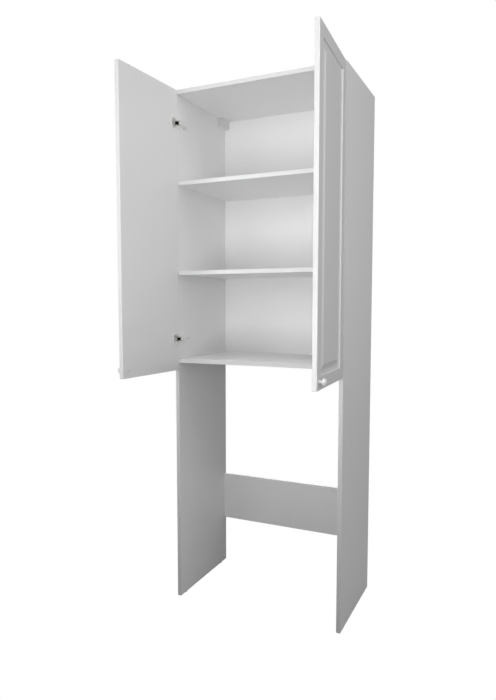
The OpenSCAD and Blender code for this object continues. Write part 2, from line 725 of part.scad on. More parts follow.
// Routed door: a flat frame, a step down, and a slope up to a raised field
module door_shape() {
    thin = 0.01;
    outer_y = door_face - door_t;
    inner_w = door_w - 2 * frame_w;
    inner_h = door_h - 2 * frame_w;
    door_frame() difference() {
        union() {
            difference() {
                translate([door_edge, outer_y, door_low]) cube([door_w, door_t, door_h]);
                translate([door_edge + frame_w, outer_y - over, door_low + frame_w])
                    cube([inner_w, step_depth + over, inner_h]);
            }
            hull() {
                translate([door_edge + frame_w, outer_y + step_depth, door_low + frame_w])
                    cube([inner_w, thin, inner_h]);
                translate([door_edge + frame_w + slope_w, outer_y + field_drop, door_low + frame_w + slope_w])
                    cube([inner_w - 2 * slope_w, thin, inner_h - 2 * slope_w]);
            }
        }
        for (z = hinge_levels) {
            translate([cup_x, door_face - cup_depth, z]) along_y(cup_d, cup_depth + over);
            for (k = [-1, 1])
                translate([cup_x + cup_screw_offset, door_face - cup_screw_l, z + k * cup_screw_pitch / 2])
                    along_y(cup_screw_d + 2 * fit, cup_screw_l + over);
        }
        translate([knob_x, outer_y - over, knob_z]) along_y(knob_screw_d + 2 * slack, door_t + 2 * over);
    }
}
module left_door() color(white) door_shape();
module right_door() color(white) right_hand() door_shape();

// Turned mushroom knob: a foot, a waist and a domed head, with a blind hole for its screw
module knob_shape() {
    foot_r = knob_d * 0.3;
    foot_t = 1.2;
    waist_r = knob_d * 0.2;
    waist_y = 3.5;
    rim_y = knob_reach * 0.68;
    dome = knob_reach - rim_y;
    under = knob_reach * 0.25;
    door_frame() translate([knob_x, door_face - door_t, knob_z]) rotate([90, 0, 0]) rotate_extrude()
        polygon(concat(
            [[knob_screw_d / 2 + fit, 0], [foot_r, 0], [foot_r, foot_t],
             [waist_r, waist_y], [waist_r, rim_y - under]],
            [for (a = [15:15:90]) [waist_r + (knob_d / 2 - waist_r) * sin(a), rim_y - under * cos(a)]],
            [for (a = [15:15:90]) [knob_d / 2 * cos(a), rim_y + dome * sin(a)]],
            [[0, knob_thread_l], [knob_screw_d / 2 + fit, knob_thread_l]]));
}
module left_knob() color(white) knob_shape();
module right_knob() color(white) right_hand() knob_shape();

knob_head_d = 8;
knob_head_t = 1.8;
module knob_screw_shape() door_frame() translate([knob_x, door_face, knob_z]) {
    shank = door_t + knob_thread_l - knob_screw_short;
    translate([0, -shank, 0]) along_y(knob_screw_d, shank);
    rotate([0, 0, 90]) cross_head(knob_head_d, knob_head_t);
}
module left_knob_screw() color(steel) knob_screw_shape();
module right_knob_screw() color(steel) right_hand() knob_screw_shape();

// Soft pads that meet the top and bottom boards
bumper_d = 8;
bumper_t = 2.2;
bumper_inset = 50;
module bumper_shape() door_frame() for (z = [bottom_z, top_z])
    translate([door_edge + door_w - bumper_inset, door_face, z]) along_y(bumper_d, bumper_t);
module left_door_bumpers() color([0.9, 0.9, 0.88]) bumper_shape();
module right_door_bumpers() color([0.9, 0.9, 0.88]) right_hand() bumper_shape();

left_side_panel();
right_side_panel();
top_panel();
bottom_panel();
upper_shelf();
lower_shelf();
back_panel();
rear_brace();
shelf_pins();
cam_locks();
cam_bolts();
dowels();
back_panel_nails();
glides();
glide_nails();
wall_brackets();
bracket_covers();
bracket_screws();
hinge_plates();
hinge_plate_screws();
hinge_arms();
hinge_arm_screws();
hinge_arm_pins();
left_outer_links();
left_inner_links();
left_cup_pins();
left_hinge_cups();
left_cup_screws();
left_door();
left_knob();
left_knob_screw();
left_door_bumpers();
right_outer_links();
right_inner_links();
right_cup_pins();
right_hinge_cups();
right_cup_screws();
right_door();
right_knob();
right_knob_screw();
right_door_bumpers();
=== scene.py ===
# %% [markdown]
# # A tall bathroom rack with a two-door cabinet
# This piece of furniture stands over a toilet. Two full-height boards carry a cabinet in their upper half.
# The solid model of it already exists, with every hole and every joint, and it is loaded first as a frame.
# Nothing in the frame is moved. Each visible piece is either a refined copy of a frame part or a new mesh
# in the same place, and it rides on the body that the part belongs to, so the doors still swing.

# %% Load the frame
import json
import math

import bmesh
import bpy
from mathutils import Matrix, Vector


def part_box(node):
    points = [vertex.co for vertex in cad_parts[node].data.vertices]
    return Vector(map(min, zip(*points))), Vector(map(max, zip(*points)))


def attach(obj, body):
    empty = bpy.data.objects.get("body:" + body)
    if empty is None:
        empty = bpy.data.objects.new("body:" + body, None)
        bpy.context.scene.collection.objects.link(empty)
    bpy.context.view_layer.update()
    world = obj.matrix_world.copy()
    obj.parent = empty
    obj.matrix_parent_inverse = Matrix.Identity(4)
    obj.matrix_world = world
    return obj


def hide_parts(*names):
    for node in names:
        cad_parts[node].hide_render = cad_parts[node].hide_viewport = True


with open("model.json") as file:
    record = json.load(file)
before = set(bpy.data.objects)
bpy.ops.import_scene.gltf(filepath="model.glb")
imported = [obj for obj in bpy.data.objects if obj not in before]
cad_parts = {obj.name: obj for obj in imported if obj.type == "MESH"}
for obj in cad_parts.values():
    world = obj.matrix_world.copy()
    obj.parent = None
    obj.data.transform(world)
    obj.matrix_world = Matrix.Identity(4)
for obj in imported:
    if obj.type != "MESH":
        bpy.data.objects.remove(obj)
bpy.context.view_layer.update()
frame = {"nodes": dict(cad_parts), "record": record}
scene = bpy.context.scene
nodes = frame["nodes"]
body_of_node = {n: b for b, names in frame["record"]["behaviour"]["bodies"].items() for n in names}
print("frame parts:", len(nodes))

# %% [markdown]
# ## Units, colours and nodes
# Blender counts in metres and furniture is drawn in millimetres, so one factor turns one into the other.
# Colours are written as the usual hex values. Shaders work on linear light, so one function converts them.
# Node trees are long to write by hand. One helper adds a node, sets it and links it in a single call.

# %% Units, colours and nodes
MM = 0.001


def linear(hex_colour):
    """A hex colour as the linear colour that a shader expects."""
    values = [int(hex_colour[i:i + 2], 16) / 255 for i in (0, 2, 4)]
    return [v / 12.92 if v <= 0.04045 else ((v + 0.055) / 1.055) ** 2.4 for v in values] + [1.0]


def add(tree, kind, inputs=None, **settings):
    """Adds a node. An input that is itself a socket is linked, and any other is set as a value."""
    node = tree.nodes.new(kind)
    for name, value in settings.items():
        setattr(node, name, value)
    for key, value in (inputs or {}).items():
        if isinstance(value, bpy.types.NodeSocket):
            tree.links.new(value, node.inputs[key])
        else:
            node.inputs[key].default_value = value
    return node


print("white as linear light:", [round(c, 3) for c in linear("F2F2F2")])

# %% [markdown]
# ## How a finish is built
# Every finish here has the same skeleton. A pattern in real millimetres, read from the piece's own
# coordinates, changes three things a little: the colour, the roughness and the height of the surface.
# That keeps a white board from looking like paper. What differs is the pattern, so each finish below
# makes its own and hands it to this function. Values that are the same everywhere go straight on the shader.

# %% The skeleton of a finish
def begin_finish(name, stretch=(1, 1, 1)):
    """A new material with its shader, and coordinates in metres that a Mapping node can stretch."""
    material = bpy.data.materials.new(name)
    material.use_nodes = True
    tree = material.node_tree
    tree.nodes.clear()
    place = add(tree, "ShaderNodeTexCoord")
    mapping = add(tree, "ShaderNodeMapping", {"Vector": place.outputs["Object"], "Scale": stretch})
    return material, tree, mapping.outputs["Vector"]


def end_finish(tree, pattern, light, dark, rough, height, **shader):
    """Pattern is a 0 to 1 socket; light and dark are hex colours, rough is a range, height is in mm."""
    colour = add(tree, "ShaderNodeMix", {"Factor": pattern}, data_type="RGBA")
    colour.inputs["A"].default_value = linear(dark)
    colour.inputs["B"].default_value = linear(light)
    roughness = add(tree, "ShaderNodeMapRange", {"Value": pattern, "To Min": rough[0], "To Max": rough[1]})
    bump = add(tree, "ShaderNodeBump", {"Height": pattern, "Strength": 1.0, "Distance": height * MM})
    inputs = {"Base Color": colour.outputs["Result"], "Roughness": roughness.outputs["Result"],
              "Normal": bump.outputs["Normal"]}
    principled = add(tree, "ShaderNodeBsdfPrincipled", inputs)
    for name, value in shader.items():
        principled.inputs[name.replace("_", " ")].default_value = value
    add(tree, "ShaderNodeOutputMaterial", {"Surface": principled.outputs["BSDF"]})


def grain(tree, place, size_mm, detail=2.0, rough=0.5):
    """A noise socket whose blobs measure about size_mm."""
    inputs = {"Vector": place, "Scale": 1 / (size_mm * MM), "Detail": detail, "Roughness": rough}
    return add(tree, "ShaderNodeTexNoise", inputs).outputs["Fac"]


def blend_of(tree, a, b, share):
    """Two 0 to 1 patterns mixed, with that share of the second."""
    mix = add(tree, "ShaderNodeMix", {"Factor": share}, data_type="FLOAT")
    tree.links.new(a, mix.inputs["A"])
    tree.links.new(b, mix.inputs["B"])
    return mix.outputs["Result"]


print("finishes share one skeleton")

# %% [markdown]
# ## White melamine board
# The carcass is chipboard pressed with melamine-soaked paper under a steel plate. The plate leaves a fine
# pearl: rounded dimples about half a millimetre wide. They break up highlights, so the board is satin and
# never mirrors. The dimples are drawn at a little over a millimetre, the finest that shows from a few
# metres away, and a slow drift over a hand's width stands for the small unevenness of pressed paper.

# %% White melamine board
PEARL = 1.3
PRESS_DRIFT = 90
melamine, tree, place = begin_finish("pearl_pressed_melamine")
dimples = add(tree, "ShaderNodeTexVoronoi", {"Vector": place, "Scale": 1 / (PEARL * MM), "Smoothness": 0.6},
              feature="SMOOTH_F1")
pearl = blend_of(tree, dimples.outputs["Distance"], grain(tree, place, PRESS_DRIFT), 0.35)
end_finish(tree, pearl, "F6F6F6", "F1F1F1", (0.38, 0.5), 0.035, IOR=1.5)
print(melamine.name)

# %% [markdown]
# ## Edge band
# The cut edges of a board are covered with an extruded ABS strip, glued on hot and trimmed flush. It is
# smoother than the melamine face beside it, with faint marks from the trimming scraper. Its greys are a
# shade darker than the face: partly the band's own tone, partly painted shade that dims the lit front edges.

# %% Edge band
SCRAPER_MARK = 4
SCRAPER_SCRATCH = 0.9
edge_band_and_painted_shade, tree, place = begin_finish("extruded_abs_edge_band")
scraped = blend_of(tree, grain(tree, place, SCRAPER_MARK, 3.0), grain(tree, place, SCRAPER_SCRATCH), 0.4)
# the band's greys: partly its own tone, partly painted shade that dims the brightly lit front edges
end_finish(tree, scraped, "E3E3E3", "DDDDDD", (0.28, 0.36), 0.012, IOR=1.53)
print(edge_band_and_painted_shade.name)

# %% [markdown]
# ## Lacquered fibreboard
# The doors are milled from medium-density fibreboard, because its fine fibres take a moulded edge. They
# are primed, sanded and sprayed with satin lacquer. Sprayed lacquer dries with orange peel, soft waves two
# or three millimetres long, under a thin clear gloss. A weak coat on the shader gives that second highlight.

# %% Lacquered fibreboard
ORANGE_PEEL = 2.6
SPRAY_DRIFT = 140
lacquer, tree, place = begin_finish("satin_lacquered_fibreboard")
peel = blend_of(tree, grain(tree, place, ORANGE_PEEL, 1.0), grain(tree, place, SPRAY_DRIFT), 0.4)
end_finish(tree, peel, "F2F2F2", "EDEDED", (0.27, 0.36), 0.03, IOR=1.5, Coat_Weight=0.25, Coat_Roughness=0.18)
print(lacquer.name)

# %% [markdown]
# ## Painted hardboard
# The back is three-millimetre hardboard with a roller-printed white face. The roller leaves a faint nap
# and the pressed fibres show through as short soft flecks, so it is duller than the boards around it.

# %% Painted hardboard
FIBRE = 3.0
ROLLER_DRIFT = 160
hardboard, tree, place = begin_finish("roller_painted_hardboard", stretch=(1, 1, 0.35))
nap = blend_of(tree, grain(tree, place, FIBRE, 4.0, 0.6), grain(tree, place, ROLLER_DRIFT), 0.4)
end_finish(tree, nap, "F6F6F6", "F0F0F0", (0.5, 0.62), 0.04, IOR=1.48)
print(hardboard.name)

# %% [markdown]
# ## Metals of the fittings
# Hinges are pressed from sheet steel and nickel plated: pale, satin rather than mirror bright, with fine
# drawing marks. Screws and nails are zinc plated, a touch bluer and clouded by their crystals. The hinge
# links are painted near-black: partly a blackened steel finish, partly painted shade for the dark inside of
# the hinge. The cams are die-cast zinc, grey and faintly pitted from the mould. A metal keeps the default
# IOR, because its colour comes from the base colour and its sheen from the roughness.

# %% Nickel, zinc and blackened steel
def metal(name, size_mm, light, dark, rough, height, stretch=(1, 1, 1)):
    """A metal whose colour and polish follow one grain."""
    material, tree, place = begin_finish(name, stretch)
    end_finish(tree, grain(tree, place, size_mm, 3.0), light, dark, rough, height, Metallic=1.0)
    return material


nickel = metal("nickel_plated_pressed_steel", 1.1, "FAFAF9", "F3F3F1", (0.6, 0.72), 0.006, (1, 1, 0.15))
zinc = metal("zinc_plated_steel", 0.8, "EFF0F1", "DFE1E3", (0.48, 0.62), 0.008)
# near-black links: partly blackened steel, partly painted shade for the dark inside of the hinge
link_black_and_painted_shade = metal("blackened_link_steel_and_painted_shade", 0.7, "0C0C0D", "060607", (0.5, 0.65), 0.006)
cast_zinc = metal("die_cast_zinc", 0.9, "B3B4B5", "989A9B", (0.42, 0.58), 0.03)
print([m.name for m in (nickel, zinc, link_black_and_painted_shade, cast_zinc)])

# %% [markdown]
# ## Moulded plastic, knob enamel and soft pads
# Glides and bracket covers are moulded polypropylene with a spark-eroded texture. The knobs are turned and
# enamelled: two thick glossy coats over a smooth body, so a clear coat carries sharp highlights. The door
# pads are a soft clear rubber that lets some light in, which subsurface scattering gives.

# %% Moulded plastic, knob enamel and soft pads
SPARK = 0.7
ENAMEL_FLOW = 6.0
RUBBER_BLOOM = 1.5
moulded, tree, place = begin_finish("spark_textured_polypropylene")
end_finish(tree, grain(tree, place, SPARK, 2.0), "F0F0F0", "E6E6E6", (0.42, 0.55), 0.02,
           IOR=1.49, Subsurface_Weight=0.05, Subsurface_Scale=0.002)
enamel, tree, place = begin_finish("glossy_knob_enamel")
end_finish(tree, grain(tree, place, ENAMEL_FLOW, 1.0), "F6F6F6", "F0F0F0", (0.12, 0.17), 0.008,
           IOR=1.52, Coat_Weight=1.0, Coat_Roughness=0.05)
pad_rubber, tree, place = begin_finish("clear_soft_pad_rubber")
end_finish(tree, grain(tree, place, RUBBER_BLOOM, 2.0), "E9E9E9", "DCDCDC", (0.3, 0.4), 0.02,
           IOR=1.45, Subsurface_Weight=0.3, Subsurface_Scale=0.002)
print([m.name for m in (moulded, enamel, pad_rubber)])

# %% [markdown]
# ## Beech
# The dowels are beech. Beech has almost no rings at this size. What marks it is its flecks: short dark
# dashes, about half a millimetre by three, that run along the grain, and the grain runs along the dowel.

# %% Beech
FLECK = 0.6
BEECH_CLOUD = 5.0
beech, tree, place = begin_finish("turned_beech", stretch=(0.18, 1, 1))
flecks = blend_of(tree, grain(tree, place, FLECK, 2.0), grain(tree, place, BEECH_CLOUD), 0.5)
end_finish(tree, flecks, "DDBB8D", "B98F60", (0.55, 0.7), 0.03, IOR=1.5)
print(beech.name)

# %% [markdown]
# ## From a frame part to a mesh that can be worked
# A part of the frame arrives as loose triangles. It could be rebuilt by hand, but its holes already sit
# where the fittings are, so a copy is merged, its flat triangles are dissolved into whole faces, and only
# then are its edges worked. The finished mesh is smooth except at real edges and on its broad flat faces:
# a broad face that shared its corner normals with a tiny round would show false shadows. The piece stands
# for its part and rides on the same body.

# %% Copy, work and finish a piece
WELD = 0.002
FLAT_ANGLE = math.radians(0.5)
CREASE = math.radians(32)
BROAD_FACE = 0.006


def merged_copy(part):
    """A bmesh of a frame part with its triangles welded and its flat faces whole."""
    bm = bmesh.new()
    bm.from_mesh(nodes[part].data)
    bmesh.ops.remove_doubles(bm, verts=bm.verts, dist=WELD * MM)
    bmesh.ops.dissolve_limit(bm, angle_limit=FLAT_ANGLE, verts=bm.verts, edges=bm.edges)
    return bm


def finish_piece(bm, name, parts, materials):
    """Turns a bmesh into a piece that replaces those parts and rides on their body."""
    mesh = bpy.data.meshes.new(name)
    bm.to_mesh(mesh)
    bm.free()
    return place_piece(mesh, name, parts, materials)


def place_piece(mesh, name, parts, materials):
    """Makes a mesh a piece of the scene. A mesh that has its materials already gets an empty list."""
    for material in materials:
        mesh.materials.append(material)
    mesh.shade_smooth()
    mesh.set_sharp_from_angle(angle=CREASE)
    for face in mesh.polygons:
        face.use_smooth = face.area < BROAD_FACE
    piece = bpy.data.objects.new(name, mesh)
    scene.collection.objects.link(piece)
    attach(piece, body_of_node[parts[0]])
    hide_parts(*parts)
    return piece


def ease(bm, edges, radius, segments=2):
    """Rounds edges by a radius in mm."""
    bmesh.ops.bevel(bm, geom=edges, offset=radius * MM, offset_type="OFFSET", segments=segments,
                    profile=0.5, affect="EDGES", clamp_overlap=False)


print("pieces are merged, worked and placed by three functions")

# %% [markdown]
# ## Boards
# A sawn board has eight corners and twelve edges, and none of them is sharp: the edge band is trimmed with
# a half-millimetre round. The same function makes every board. It rounds the outline, cuts a line where
# each edge band ends, and gives the faces inside the band the band's finish. Which edges have a band is
# written for each board: those that a hand or an eye meets.

# %% Boards of the carcass
BAND = 0.8
TRIM_ROUND = 0.55
TOUCH = 0.01 * MM


def outline_edges(bm, low, high):
    """The twelve edges of the board's outline, without the rims of its holes."""
    def at_face(v, k):
        return min(abs(v.co[k] - low[k]), abs(v.co[k] - high[k])) < TOUCH
    return [e for e in bm.edges if sum(all(at_face(v, k) for v in e.verts) for k in range(3)) == 2]


def board(part, name, face, band_sides, trim=TRIM_ROUND):
    """band_sides lists the banded edges as an axis letter and an end, such as "y-" for the front."""
    low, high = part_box(part)
    bm = merged_copy(part)
    ease(bm, outline_edges(bm, low, high), trim)
    limits = []
    for side in band_sides:
        k, ahead = "xyz".index(side[0]), side[1] == "+"
        at = high[k] - BAND * MM if ahead else low[k] + BAND * MM
        normal = Vector([1.0 if i == k else 0.0 for i in range(3)])
        bmesh.ops.bisect_plane(bm, geom=bm.verts[:] + bm.edges[:] + bm.faces[:], dist=TOUCH / 10,
                               plane_co=normal * at, plane_no=normal)
        limits.append((k, at, ahead))
    for f in bm.faces:
        c = f.calc_center_median()
        f.material_index = int(any((c[k] > at) if ahead else (c[k] < at) for k, at, ahead in limits))
    piece = finish_piece(bm, name, [part], [face, edge_band_and_painted_shade])
    print(name, "faces:", len(piece.data.polygons))
    return piece


for hand in ("left", "right"):
    board(hand + "_side_panel", hand + "_side_board", melamine, ("y-", "y+", "z-", "z+"))
for level in ("top", "bottom"):
    board(level + "_panel", level + "_board", melamine, ("y-", "y+"))
for level in ("upper", "lower"):
    board(level + "_shelf", level + "_shelf_board", melamine, ("y-",))
board("rear_brace", "rear_brace_board", melamine, ("z-", "z+"))
board("back_panel", "hardboard_back", hardboard, (), trim=0.3)

# %% [markdown]
# ## Doors
# A routed door could be a copy of its frame part, but the cutter leaves soft shapes that the plain part
# lacks: a rounded outer edge, a small bead where the flat frame ends, and one wide cove that sinks steeply
# and rises slowly to the raised field. All of them run round the door at a constant distance from
# its edge, so the door is a stack of rectangles, each a little further in and at its own depth. Inner
# corners get the radius that the cutter leaves. The back is flat, and two round pockets take the hinges.

# %% The profile of a door
FRAME_WIDTH = 42
SLOPE_WIDTH = 31
STEP = 6
FIELD_DROP = 1
EDGE_ROUND = 2.2
BEAD = 1.2
COVE_FLOOR = 14
SLOPE_CURVE = 1.15
FIELD_LIP = 0.9
LIP_START = 1.0
LIP_CREST = 0.12
RUN_OUT = 1.5


def arc(center, radius, start, stop, steps):
    """Points of a round stretch of the profile, as distance from the edge and depth."""
    turns = [math.radians(start + (stop - start) * i / steps) for i in range(steps + 1)]
    return [(center[0] + radius * math.cos(t), center[1] + radius * math.sin(t)) for t in turns]


def door_profile():
    """From the outer edge to the field: (distance from the edge, depth below the frame) in mm."""
    field = FRAME_WIDTH + SLOPE_WIDTH
    floor = FRAME_WIDTH + COVE_FLOOR
    lip = (field - LIP_START, FIELD_DROP + FIELD_LIP)
    turns = [math.radians(9 * i) for i in range(1, 11)]
    cove = [(floor - COVE_FLOOR * math.cos(t), BEAD + (STEP - BEAD) * math.sin(t)) for t in turns]
    slope = [(floor + (lip[0] - floor) * t, STEP - (STEP - lip[1]) * t ** SLOPE_CURVE)
             for t in (0.12, 0.25, 0.4, 0.55, 0.7, 0.85, 1.0)]
    return (arc((EDGE_ROUND, EDGE_ROUND), EDGE_ROUND, 180, 270, 6)
            + [(FRAME_WIDTH - BEAD - RUN_OUT, 0)]
            + arc((FRAME_WIDTH - BEAD, BEAD), BEAD, 270, 360, 4)
            + cove + slope + [(field, FIELD_DROP + FIELD_LIP * LIP_CREST), (field + RUN_OUT, FIELD_DROP)])


profile = door_profile()
print("profile points:", len(profile), "deepest:", max(d for _, d in profile), "mm")

# %% [markdown]
# The door stands open in the frame, turned by a few degrees more than a right angle. Its own directions are
# read from its part: the longest flat edge gives the width, and the hinge side is the end that is nearer
# the carcass. Every point is then placed by width, height and thickness along those directions.

# %% A door's own directions
def door_axes(hand):
    """The hinge-side corner of the outer face, and unit vectors across, into and up the door."""
    low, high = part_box(hand + "_door")
    foot = {tuple(round(c, 6) for c in v.co) for v in nodes[hand + "_door"].data.vertices
            if abs(v.co.z - low.z) < TOUCH}
    corners = sorted((Vector(p) for p in foot), key=lambda p: -p.y)
    outer_hinge, inner_hinge = sorted(corners[:2], key=lambda p: -abs(p.x))
    outer_free = max(corners[-2:], key=lambda p: abs(p.x))
    across, into = outer_free - outer_hinge, inner_hinge - outer_hinge
    return {"corner": outer_hinge, "across": across.normalized(), "into": into.normalized(),
            "up": Vector((0, 0, 1)), "width": across.length, "height": high.z - low.z, "thick": into.length}


axes = {hand: door_axes(hand) for hand in ("left", "right")}
for hand, a in axes.items():
    print(hand, "door:", [round(a[k] / MM, 2) for k in ("width", "height", "thick")],
          "across", [round(c, 4) for c in a["across"]])

# %% [markdown]
# ## Where the fittings are
# A part of the frame can hold several separate solids, such as all the screws of one kind. Their places are
# read from their points: solids are the connected groups, and a turned piece's own line runs between the
# middles of its two ends. The end with the wider circle is its head.

# %% Solids of a part and the line of a turned piece
END_SHARE = 0.15


def solids(part):
    """The welded points of each separate solid of a part."""
    bm = merged_copy(part)
    found, seen = [], set()
    for v in bm.verts:
        if v in seen:
            continue
        group, todo = [], [v]
        seen.add(v)
        while todo:
            w = todo.pop()
            group.append(w.co.copy())
            for e in w.link_edges:
                other = e.other_vert(w)
                if other not in seen:
                    seen.add(other)
                    todo.append(other)
        found.append(group)
    bm.free()
    return found


def middle(points):
    """The mean of some points."""
    return sum(points, Vector()) / len(points)


def turned_line(points):
    """(middle of the head end, unit vector out of the head, length) of one turned solid."""
    start = points[0]
    far = max(points, key=lambda p: (p - start).length)
    other = max(points, key=lambda p: (p - far).length)
    line = (far - other).normalized()
    for _ in range(3):
        places = [p.dot(line) for p in points]
        top, bottom = max(places), min(places)
        reach = END_SHARE * (top - bottom)
        ends = [[p for p, s in zip(points, places) if s > top - reach],
                [p for p, s in zip(points, places) if s < bottom + reach]]
        line = (middle(ends[0]) - middle(ends[1])).normalized()
    spread = [max((p - middle(e)).cross(line).length for p in e) for e in ends]
    if spread[1] > spread[0]:
        ends.reverse()
        line = -line
    places = [p.dot(line) for p in points]
    head = middle(ends[0])
    return head + line * (max(places) - head.dot(line)), line, max(places) - min(places)


print("solids in the cup screws:", len(solids("left_cup_screws")))

# %% [markdown]
# The doors are lofted now. The pockets for the hinge cups are cut at the end with a Boolean, which is the
# surest way to open a round hole in a flat back. Each pocket's middle is the middle of its cup's floor.

# %% Loft and cut the doors
CORNER_STEPS = 5
CUTTER_CORNER = 3.0
BACK_EASE = 0.8
POCKET_SIDES = 64
POCKET_PLAY = 0.05
POCKET_OVERCUT = 4
SHARP = 0.12


def corner_radius(distance):
    """Outer corners follow the rounded edge; inner ones start at the cutter's radius and close to a mitre."""
    if distance <= EDGE_ROUND:
        return max(EDGE_ROUND - distance, SHARP)
    inner = CUTTER_CORNER - (distance - FRAME_WIDTH + BEAD)
    return max(min(inner, CUTTER_CORNER), SHARP) if distance > FRAME_WIDTH / 2 else SHARP


def rounded_rectangle(a, distance, depth):
    """A ring of points, that far in from the door's edge and that deep, in mm."""
    w, h = a["width"] / MM, a["height"] / MM
    r = corner_radius(distance)
    ring = []
    for cx, cy, start in ((w - distance - r, h - distance - r, 0), (distance + r, h - distance - r, 90),
                          (distance + r, distance + r, 180), (w - distance - r, distance + r, 270)):
        for x, y in arc((cx, cy), r, start, start + 90, CORNER_STEPS):
            ring.append(a["corner"] + (a["across"] * x + a["up"] * y + a["into"] * depth) * MM)
    return ring


def loft(bm, rings):
    """Joins rings of equal length with quads and closes both ends."""
    loops = [[bm.verts.new(p) for p in ring] for ring in rings]
    for one, two in zip(loops, loops[1:]):
        for i in range(len(one)):
            j = (i + 1) % len(one)
            bm.faces.new((one[i], one[j], two[j], two[i]))
    bm.faces.new(loops[0])
    bm.faces.new(loops[-1])
    bmesh.ops.recalc_face_normals(bm, faces=bm.faces[:])


def cup_floors(hand):
    """The middle of each hinge cup's floor, and its radius and depth under the door's inner face."""
    a = axes[hand]
    found = []
    for points in solids(hand + "_hinge_cups"):
        deep = min((p - a["corner"]).dot(a["into"]) for p in points)
        floor = [p for p in points if (p - a["corner"]).dot(a["into"]) < deep + TOUCH]
        center = (Vector([min(p[k] for p in floor) for k in range(3)])
                  + Vector([max(p[k] for p in floor) for k in range(3)])) / 2
        found.append((center, max((p - center).length for p in floor), deep))
    return found


def door(hand):
    """Lofts one door from its back to its field and cuts the pockets of its hinge cups."""
    a = axes[hand]
    thick = a["thick"] / MM
    bm = bmesh.new()
    back = [(BACK_EASE, thick), (BACK_EASE * 0.3, thick - BACK_EASE * 0.3), (0, thick - BACK_EASE)]
    loft(bm, [rounded_rectangle(a, d, t) for d, t in back + profile])
    mesh = bpy.data.meshes.new("door_blank")
    bm.to_mesh(mesh)
    bm.free()
    blank = bpy.data.objects.new("door_blank", mesh)
    scene.collection.objects.link(blank)
    cutter = bmesh.new()
    turn = a["into"].to_track_quat("Z", "Y").to_matrix().to_4x4()
    for center, radius, deep in cup_floors(hand):
        height = a["thick"] - deep + POCKET_OVERCUT * MM
        place = Matrix.Translation(center + a["into"] * (height / 2 - POCKET_PLAY * MM)) @ turn
        bmesh.ops.create_cone(cutter, cap_ends=True, segments=POCKET_SIDES, radius1=radius + POCKET_PLAY * MM,
                              radius2=radius + POCKET_PLAY * MM, depth=height, matrix=place)
    cutter_mesh = bpy.data.meshes.new("pocket_cutter")
    cutter.to_mesh(cutter_mesh)
    cutter.free()
    pockets = bpy.data.objects.new("pocket_cutter", cutter_mesh)
    scene.collection.objects.link(pockets)
    cut = blank.modifiers.new("pockets", "BOOLEAN")
    cut.object, cut.operation, cut.solver = pockets, "DIFFERENCE", "EXACT"
    made = bpy.data.meshes.new_from_object(blank.evaluated_get(bpy.context.evaluated_depsgraph_get()))
    made.name = hand + "_routed_door"
    for spare in (blank, pockets):
        bpy.data.objects.remove(spare)
    piece = place_piece(made, hand + "_routed_door", [hand + "_door"], [lacquer])
    print(piece.name, "faces:", len(made.polygons))


for hand in ("left", "right"):
    door(hand)

# %% [markdown]
# ## Knobs
# A knob is turned on a lathe, so its mesh is one outline spun round its own line: a foot, a waist, a flare
# and a dome. A Screw modifier could do it. A short loop does it too, and it keeps the pole closed.

# %% Turn the knobs
KNOB_SIDES = 48
POLISHED_OFF = 0.06
FOOT_SHARE = 0.6
WAIST_SHARE = 0.4
RIM_SHARE = 0.6
FLARE_SHARE = 0.27


def knob_outline(radius, reach):
    """Radius and height of the knob from its foot to its crown, in metres."""
    foot, waist = radius * FOOT_SHARE, radius * WAIST_SHARE
    rim = reach * RIM_SHARE
    flare = [(waist + (radius - waist) * math.sin(t), rim - reach * FLARE_SHARE * math.cos(t))
             for t in (math.radians(6 * i) for i in range(0, 16))]
    dome = [(radius * math.cos(t), rim + (reach - rim) * math.sin(t))
            for t in (math.radians(6 * i) for i in range(1, 15))]
    neck = [(foot - 0.3 * MM, 0), (foot, 0.3 * MM), (foot, 1.0 * MM), (foot - 0.4 * MM, 1.5 * MM),
            (waist + 0.6 * MM, 2.8 * MM), (waist, 4.2 * MM)]
    return neck + flare + dome


def knob(hand):
    """Turns one knob round the line that its part stands on."""
    a = axes[hand]
    points = [v.co for v in nodes[hand + "_knob"].data.vertices]
    outward = -a["into"]
    depths = [(p - a["corner"]).dot(outward) for p in points]
    top = max(depths)
    crown = middle([p for p, d in zip(points, depths) if d > top - TOUCH])
    foot = crown - outward * top
    reach = top - POLISHED_OFF * MM
    radius = max((p - foot).cross(outward).length for p in points)
    side = outward.cross(Vector((0, 0, 1)))
    bm = bmesh.new()
    rings = [[foot + outward * h + (side * math.cos(t) + Vector((0, 0, 1)) * math.sin(t)) * r
              for t in (2 * math.pi * i / KNOB_SIDES for i in range(KNOB_SIDES))]
             for r, h in knob_outline(radius, reach)]
    loft(bm, rings)
    cap = max(bm.faces, key=lambda f: f.calc_center_median().dot(outward))
    pole = bmesh.ops.poke(bm, faces=[cap])["verts"][0]
    pole.co = foot + outward * reach
    finish_piece(bm, hand + "_turned_knob", [hand + "_knob"], [enamel])
    print(hand, "knob: radius", round(radius / MM, 2), "reach", round(reach / MM, 2))


for hand in ("left", "right"):
    knob(hand)

# %% [markdown]
# ## Fasteners by Geometry Nodes
# Screws, nails, pins and dowels are all turned rods: a head, a shank and a point. They differ only in
# sizes, and there are dozens of them, so one node tree makes them all. Inside it six stations along a short
# line get a height and a radius, a many-sided profile is swept along them, a cross is cut in the head, and
# the finished rod is set on every point that it is given. Each point carries its direction as an
# attribute. A random spin with a fixed seed keeps the crosses from lining up like soldiers.

# %% The fastener tree
FASTENER_INPUTS = [
    ("Head Diameter", 7.0), ("Head Height", 1.6), ("Head Edge", 0.4), ("Shank Diameter", 4.0),
    ("Length", 15.0), ("Point Length", 3.0), ("Point Diameter", 0.6), ("Flute Depth", 0.0),
    ("Recess Length", 4.4), ("Recess Width", 1.0), ("Recess Depth", 0.9)]
TIGHT = 0.01


